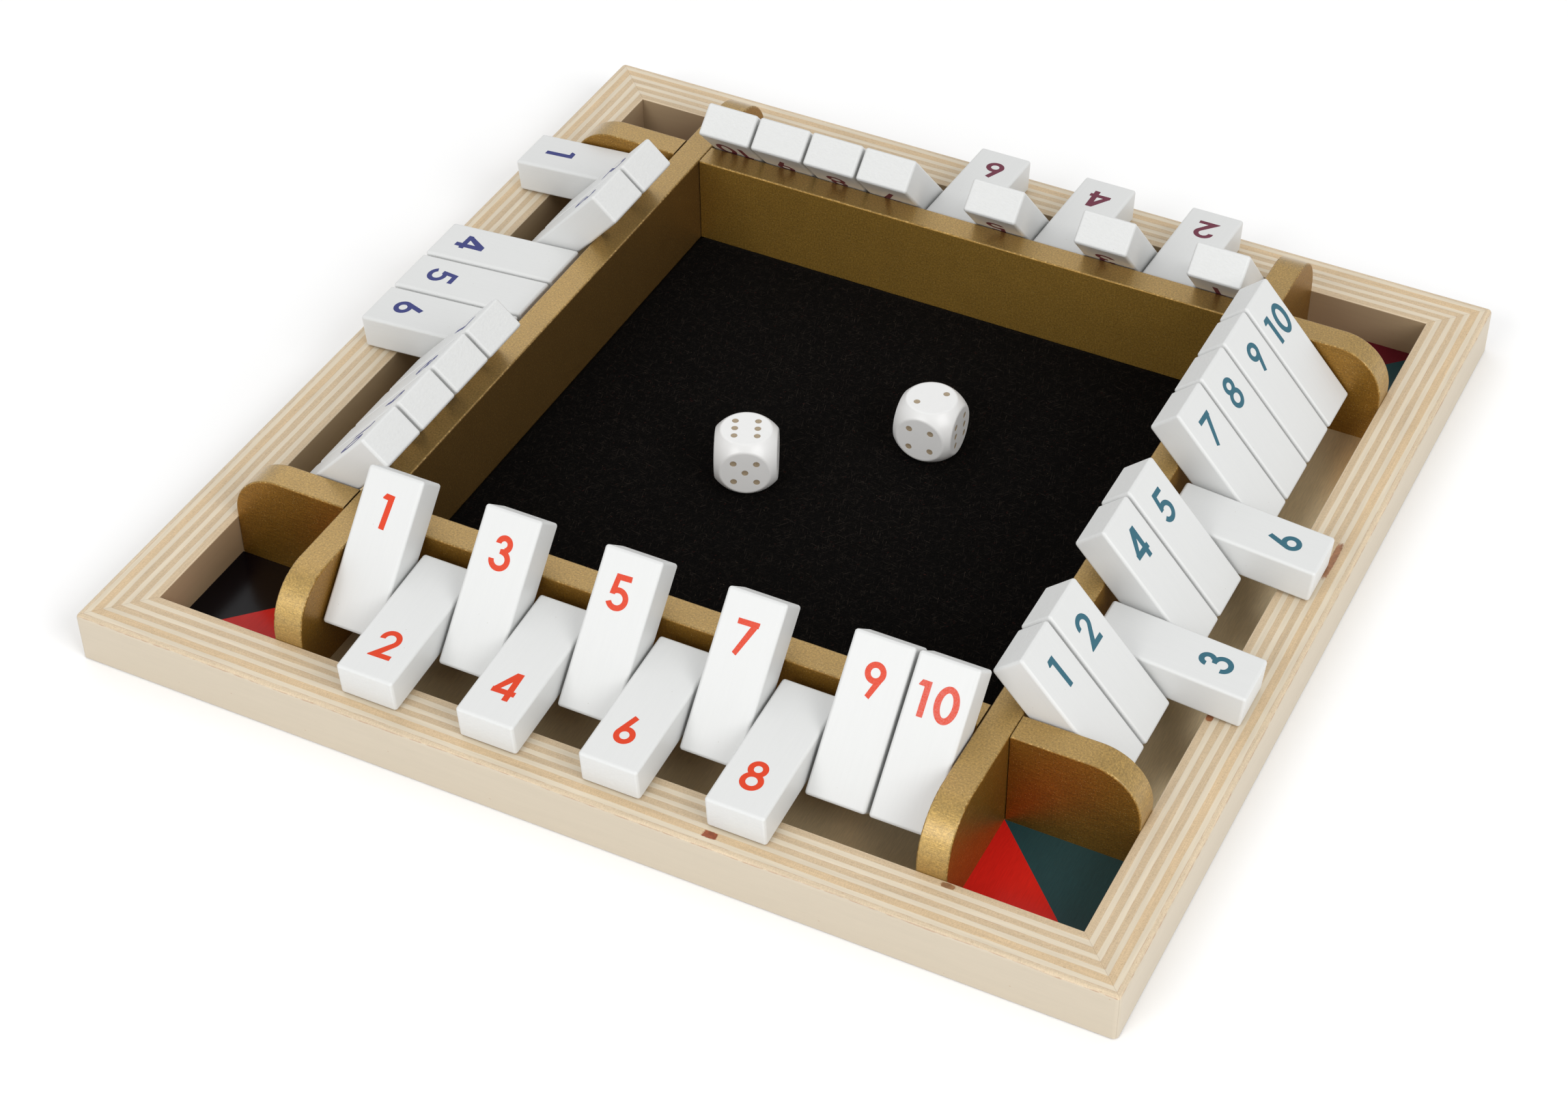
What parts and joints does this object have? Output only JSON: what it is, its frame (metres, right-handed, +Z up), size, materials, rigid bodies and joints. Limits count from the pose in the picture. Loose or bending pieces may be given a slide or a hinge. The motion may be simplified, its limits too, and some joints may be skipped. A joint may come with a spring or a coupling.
{
  "type": "shut the box game",
  "caption": "Four-sided shut-the-box board: mitred plywood frame, gold tray walls, felt dice tray, rows of hinged numbered tiles and loose dice.",
  "frame": {"origin": "centre of the underside, on the table", "axes": "+Z up; +X to the right along the front rail, whose numbers are red; +Y to the back"},
  "size_m": [0.28, 0.28, 0.0462],
  "materials": {
    "plywood": "clear satin over bare ply edges",
    "gold_wood": "metallic gold paint",
    "white_wood": "satin white paint",
    "die_wood": "gloss white paint",
    "felt": "napped black felt",
    "steel": "bright drawn wire",
    "painted_board": "painted: bronze channels, two-coloured corners"
  },
  "bodies": {
    "case": {"front_rail": "plywood", "right_rail": "plywood", "back_rail": "plywood", "left_rail": "plywood", "bottom_board": "painted_board", "left_tray_wall": "gold_wood", "right_tray_wall": "gold_wood", "front_tray_wall": "gold_wood", "back_tray_wall": "gold_wood", "front_left_partition": "gold_wood", "back_left_partition": "gold_wood", "front_right_partition": "gold_wood", "back_right_partition": "gold_wood", "tray_felt": "felt", "front_rod": "steel", "right_rod": "steel", "back_rod": "steel", "left_rod": "steel"},
    "front_tile_01": {"front_tile_01": "white_wood"},
    "front_tile_02": {"front_tile_02": "white_wood"},
    "front_tile_03": {"front_tile_03": "white_wood"},
    "front_tile_04": {"front_tile_04": "white_wood"},
    "front_tile_05": {"front_tile_05": "white_wood"},
    "front_tile_06": {"front_tile_06": "white_wood"},
    "front_tile_07": {"front_tile_07": "white_wood"},
    "front_tile_08": {"front_tile_08": "white_wood"},
    "front_tile_09": {"front_tile_09": "white_wood"},
    "front_tile_10": {"front_tile_10": "white_wood"},
    "right_tile_01": {"right_tile_01": "white_wood"},
    "right_tile_02": {"right_tile_02": "white_wood"},
    "right_tile_03": {"right_tile_03": "white_wood"},
    "right_tile_04": {"right_tile_04": "white_wood"},
    "right_tile_05": {"right_tile_05": "white_wood"},
    "right_tile_06": {"right_tile_06": "white_wood"},
    "right_tile_07": {"right_tile_07": "white_wood"},
    "right_tile_08": {"right_tile_08": "white_wood"},
    "right_tile_09": {"right_tile_09": "white_wood"},
    "right_tile_10": {"right_tile_10": "white_wood"},
    "back_tile_01": {"back_tile_01": "white_wood"},
    "back_tile_02": {"back_tile_02": "white_wood"},
    "back_tile_03": {"back_tile_03": "white_wood"},
    "back_tile_04": {"back_tile_04": "white_wood"},
    "back_tile_05": {"back_tile_05": "white_wood"},
    "back_tile_06": {"back_tile_06": "white_wood"},
    "back_tile_07": {"back_tile_07": "white_wood"},
    "back_tile_08": {"back_tile_08": "white_wood"},
    "back_tile_09": {"back_tile_09": "white_wood"},
    "back_tile_10": {"back_tile_10": "white_wood"},
    "left_tile_01": {"left_tile_01": "white_wood"},
    "left_tile_02": {"left_tile_02": "white_wood"},
    "left_tile_03": {"left_tile_03": "white_wood"},
    "left_tile_04": {"left_tile_04": "white_wood"},
    "left_tile_05": {"left_tile_05": "white_wood"},
    "left_tile_06": {"left_tile_06": "white_wood"},
    "left_tile_07": {"left_tile_07": "white_wood"},
    "left_tile_08": {"left_tile_08": "white_wood"},
    "left_tile_09": {"left_tile_09": "white_wood"},
    "left_tile_10": {"left_tile_10": "white_wood"},
    "die_left": {"die_left": "die_wood"},
    "die_right": {"die_right": "die_wood"}
  },
  "joints": [
    {"name": "front_tile_01_hinge", "type": "hinge", "parent": "case", "child": "front_tile_01", "pos_m": [-0.0747, -0.10519, 0.0215], "axis": [1, 0, 0], "range_deg": [0, 136.47]},
    {"name": "front_tile_02_hinge", "type": "hinge", "parent": "case", "child": "front_tile_02", "pos_m": [-0.0581, -0.10519, 0.0215], "axis": [1, 0, 0], "range_deg": [-136.47, 0]},
    {"name": "front_tile_03_hinge", "type": "hinge", "parent": "case", "child": "front_tile_03", "pos_m": [-0.0415, -0.10519, 0.0215], "axis": [1, 0, 0], "range_deg": [0, 136.47]},
    {"name": "front_tile_04_hinge", "type": "hinge", "parent": "case", "child": "front_tile_04", "pos_m": [-0.0249, -0.10519, 0.0215], "axis": [1, 0, 0], "range_deg": [-136.47, 0]},
    {"name": "front_tile_05_hinge", "type": "hinge", "parent": "case", "child": "front_tile_05", "pos_m": [-0.0083, -0.10519, 0.0215], "axis": [1, 0, 0], "range_deg": [0, 136.47]},
    {"name": "front_tile_06_hinge", "type": "hinge", "parent": "case", "child": "front_tile_06", "pos_m": [0.0083, -0.10519, 0.0215], "axis": [1, 0, 0], "range_deg": [-136.47, 0]},
    {"name": "front_tile_07_hinge", "type": "hinge", "parent": "case", "child": "front_tile_07", "pos_m": [0.0249, -0.10519, 0.0215], "axis": [1, 0, 0], "range_deg": [0, 136.47]},
    {"name": "front_tile_08_hinge", "type": "hinge", "parent": "case", "child": "front_tile_08", "pos_m": [0.0415, -0.10519, 0.0215], "axis": [1, 0, 0], "range_deg": [-136.47, 0]},
    {"name": "front_tile_09_hinge", "type": "hinge", "parent": "case", "child": "front_tile_09", "pos_m": [0.0581, -0.10519, 0.0215], "axis": [1, 0, 0], "range_deg": [0, 136.47]},
    {"name": "front_tile_10_hinge", "type": "hinge", "parent": "case", "child": "front_tile_10", "pos_m": [0.0747, -0.10519, 0.0215], "axis": [1, 0, 0], "range_deg": [0, 136.47]},
    {"name": "right_tile_01_hinge", "type": "hinge", "parent": "case", "child": "right_tile_01", "pos_m": [0.10519, -0.0747, 0.0215], "axis": [0, 1, 0], "range_deg": [0, 136.47]},
    {"name": "right_tile_02_hinge", "type": "hinge", "parent": "case", "child": "right_tile_02", "pos_m": [0.10519, -0.0581, 0.0215], "axis": [0, 1, 0], "range_deg": [0, 136.47]},
    {"name": "right_tile_03_hinge", "type": "hinge", "parent": "case", "child": "right_tile_03", "pos_m": [0.10519, -0.0415, 0.0215], "axis": [0, 1, 0], "range_deg": [-136.47, 0]},
    {"name": "right_tile_04_hinge", "type": "hinge", "parent": "case", "child": "right_tile_04", "pos_m": [0.10519, -0.0249, 0.0215], "axis": [0, 1, 0], "range_deg": [0, 136.47]},
    {"name": "right_tile_05_hinge", "type": "hinge", "parent": "case", "child": "right_tile_05", "pos_m": [0.10519, -0.0083, 0.0215], "axis": [0, 1, 0], "range_deg": [0, 136.47]},
    {"name": "right_tile_06_hinge", "type": "hinge", "parent": "case", "child": "right_tile_06", "pos_m": [0.10519, 0.0083, 0.0215], "axis": [0, 1, 0], "range_deg": [-136.47, 0]},
    {"name": "right_tile_07_hinge", "type": "hinge", "parent": "case", "child": "right_tile_07", "pos_m": [0.10519, 0.0249, 0.0215], "axis": [0, 1, 0], "range_deg": [0, 136.47]},
    {"name": "right_tile_08_hinge", "type": "hinge", "parent": "case", "child": "right_tile_08", "pos_m": [0.10519, 0.0415, 0.0215], "axis": [0, 1, 0], "range_deg": [0, 136.47]},
    {"name": "right_tile_09_hinge", "type": "hinge", "parent": "case", "child": "right_tile_09", "pos_m": [0.10519, 0.0581, 0.0215], "axis": [0, 1, 0], "range_deg": [0, 136.47]},
    {"name": "right_tile_10_hinge", "type": "hinge", "parent": "case", "child": "right_tile_10", "pos_m": [0.10519, 0.0747, 0.0215], "axis": [0, 1, 0], "range_deg": [0, 136.47]},
    {"name": "back_tile_01_hinge", "type": "hinge", "parent": "case", "child": "back_tile_01", "pos_m": [0.0747, 0.10519, 0.0215], "axis": [-1, 0, 0], "range_deg": [0, 136.47]},
    {"name": "back_tile_02_hinge", "type": "hinge", "parent": "case", "child": "back_tile_02", "pos_m": [0.0581, 0.10519, 0.0215], "axis": [-1, 0, 0], "range_deg": [-136.47, 0]},
    {"name": "back_tile_03_hinge", "type": "hinge", "parent": "case", "child": "back_tile_03", "pos_m": [0.0415, 0.10519, 0.0215], "axis": [-1, 0, 0], "range_deg": [0, 136.47]},
    {"name": "back_tile_04_hinge", "type": "hinge", "parent": "case", "child": "back_tile_04", "pos_m": [0.0249, 0.10519, 0.0215], "axis": [-1, 0, 0], "range_deg": [-136.47, 0]},
    {"name": "back_tile_05_hinge", "type": "hinge", "parent": "case", "child": "back_tile_05", "pos_m": [0.0083, 0.10519, 0.0215], "axis": [-1, 0, 0], "range_deg": [0, 136.47]},
    {"name": "back_tile_06_hinge", "type": "hinge", "parent": "case", "child": "back_tile_06", "pos_m": [-0.0083, 0.10519, 0.0215], "axis": [-1, 0, 0], "range_deg": [-136.47, 0]},
    {"name": "back_tile_07_hinge", "type": "hinge", "parent": "case", "child": "back_tile_07", "pos_m": [-0.0249, 0.10519, 0.0215], "axis": [-1, 0, 0], "range_deg": [0, 136.47]},
    {"name": "back_tile_08_hinge", "type": "hinge", "parent": "case", "child": "back_tile_08", "pos_m": [-0.0415, 0.10519, 0.0215], "axis": [-1, 0, 0], "range_deg": [0, 136.47]},
    {"name": "back_tile_09_hinge", "type": "hinge", "parent": "case", "child": "back_tile_09", "pos_m": [-0.0581, 0.10519, 0.0215], "axis": [-1, 0, 0], "range_deg": [0, 136.47]},
    {"name": "back_tile_10_hinge", "type": "hinge", "parent": "case", "child": "back_tile_10", "pos_m": [-0.0747, 0.10519, 0.0215], "axis": [-1, 0, 0], "range_deg": [0, 136.47]},
    {"name": "left_tile_01_hinge", "type": "hinge", "parent": "case", "child": "left_tile_01", "pos_m": [-0.10519, 0.0747, 0.0215], "axis": [0, -1, 0], "range_deg": [-136.47, 0]},
    {"name": "left_tile_02_hinge", "type": "hinge", "parent": "case", "child": "left_tile_02", "pos_m": [-0.10519, 0.0581, 0.0215], "axis": [0, -1, 0], "range_deg": [0, 136.47]},
    {"name": "left_tile_03_hinge", "type": "hinge", "parent": "case", "child": "left_tile_03", "pos_m": [-0.10519, 0.0415, 0.0215], "axis": [0, -1, 0], "range_deg": [0, 136.47]},
    {"name": "left_tile_04_hinge", "type": "hinge", "parent": "case", "child": "left_tile_04", "pos_m": [-0.10519, 0.0249, 0.0215], "axis": [0, -1, 0], "range_deg": [-136.47, 0]},
    {"name": "left_tile_05_hinge", "type": "hinge", "parent": "case", "child": "left_tile_05", "pos_m": [-0.10519, 0.0083, 0.0215], "axis": [0, -1, 0], "range_deg": [-136.47, 0]},
    {"name": "left_tile_06_hinge", "type": "hinge", "parent": "case", "child": "left_tile_06", "pos_m": [-0.10519, -0.0083, 0.0215], "axis": [0, -1, 0], "range_deg": [-136.47, 0]},
    {"name": "left_tile_07_hinge", "type": "hinge", "parent": "case", "child": "left_tile_07", "pos_m": [-0.10519, -0.0249, 0.0215], "axis": [0, -1, 0], "range_deg": [0, 136.47]},
    {"name": "left_tile_08_hinge", "type": "hinge", "parent": "case", "child": "left_tile_08", "pos_m": [-0.10519, -0.0415, 0.0215], "axis": [0, -1, 0], "range_deg": [0, 136.47]},
    {"name": "left_tile_09_hinge", "type": "hinge", "parent": "case", "child": "left_tile_09", "pos_m": [-0.10519, -0.0581, 0.0215], "axis": [0, -1, 0], "range_deg": [0, 136.47]},
    {"name": "left_tile_10_hinge", "type": "hinge", "parent": "case", "child": "left_tile_10", "pos_m": [-0.10519, -0.0747, 0.0215], "axis": [0, -1, 0], "range_deg": [0, 136.47]},
    {"name": "die_left_lift", "type": "slide", "parent": "case", "child": "die_left", "axis": [0, 0, 1], "range_m": [0, 0.05]},
    {"name": "die_right_lift", "type": "slide", "parent": "case", "child": "die_right", "axis": [0, 0, 1], "range_m": [0, 0.05]}
  ]
}
